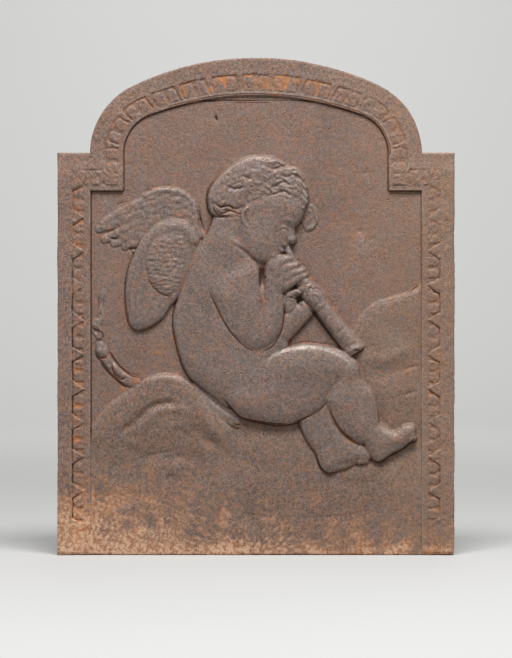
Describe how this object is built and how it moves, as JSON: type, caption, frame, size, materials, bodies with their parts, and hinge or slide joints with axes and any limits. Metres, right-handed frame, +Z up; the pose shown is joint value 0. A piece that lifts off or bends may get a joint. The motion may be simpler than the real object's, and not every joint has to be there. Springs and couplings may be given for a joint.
{
  "type": "cast-iron fireback",
  "caption": "Arched cast-iron fireback with a leaf-and-dart border and a low relief of a winged child on clouds playing a pipe.",
  "frame": {"origin": "middle of the bottom edge of the flat back, on the line where the back meets the hearth", "axes": "+Z up, -Y out of the decorated front towards the room, +X to the viewer's right"},
  "size_m": [0.4, 0.024, 0.501],
  "materials": {
    "plate_iron": "rough as cast, brown with rust",
    "border_iron": "rough as cast, brown with rust",
    "leaf_iron": "rough as cast, orange rust in the hollows",
    "cloud_iron": "rough as cast, brown with tan rust",
    "figure_iron": "as cast, worn smoother and greyer"
  },
  "bodies": {
    "root": {"ground_plate": "plate_iron", "side_moulding_left": "border_iron", "side_moulding_right": "border_iron", "shoulder_moulding_left": "border_iron", "shoulder_moulding_right": "border_iron", "arch_moulding": "border_iron", "side_leaves_left": "leaf_iron", "side_leaves_right": "leaf_iron", "shoulder_leaves": "leaf_iron", "arch_leaves": "leaf_iron", "cloud_left": "cloud_iron", "cloud_fold": "cloud_iron", "cloud_right": "cloud_iron", "cloud_seat": "cloud_iron", "cloud_foot": "cloud_iron", "torch": "figure_iron", "torch_flame": "figure_iron", "far_wing": "figure_iron", "near_wing": "figure_iron", "wing_coverts": "figure_iron", "far_leg": "figure_iron", "far_forearm": "figure_iron", "far_hand": "figure_iron", "drapery": "figure_iron", "trunk": "figure_iron", "neck": "figure_iron", "head": "figure_iron", "hair": "figure_iron", "brow_curl": "figure_iron", "near_thigh": "figure_iron", "near_shin": "figure_iron", "near_foot": "figure_iron", "near_upper_arm": "figure_iron", "near_forearm": "figure_iron", "near_hand": "figure_iron", "pipe": "figure_iron", "pipe_collar": "figure_iron"}
  },
  "joints": []
}
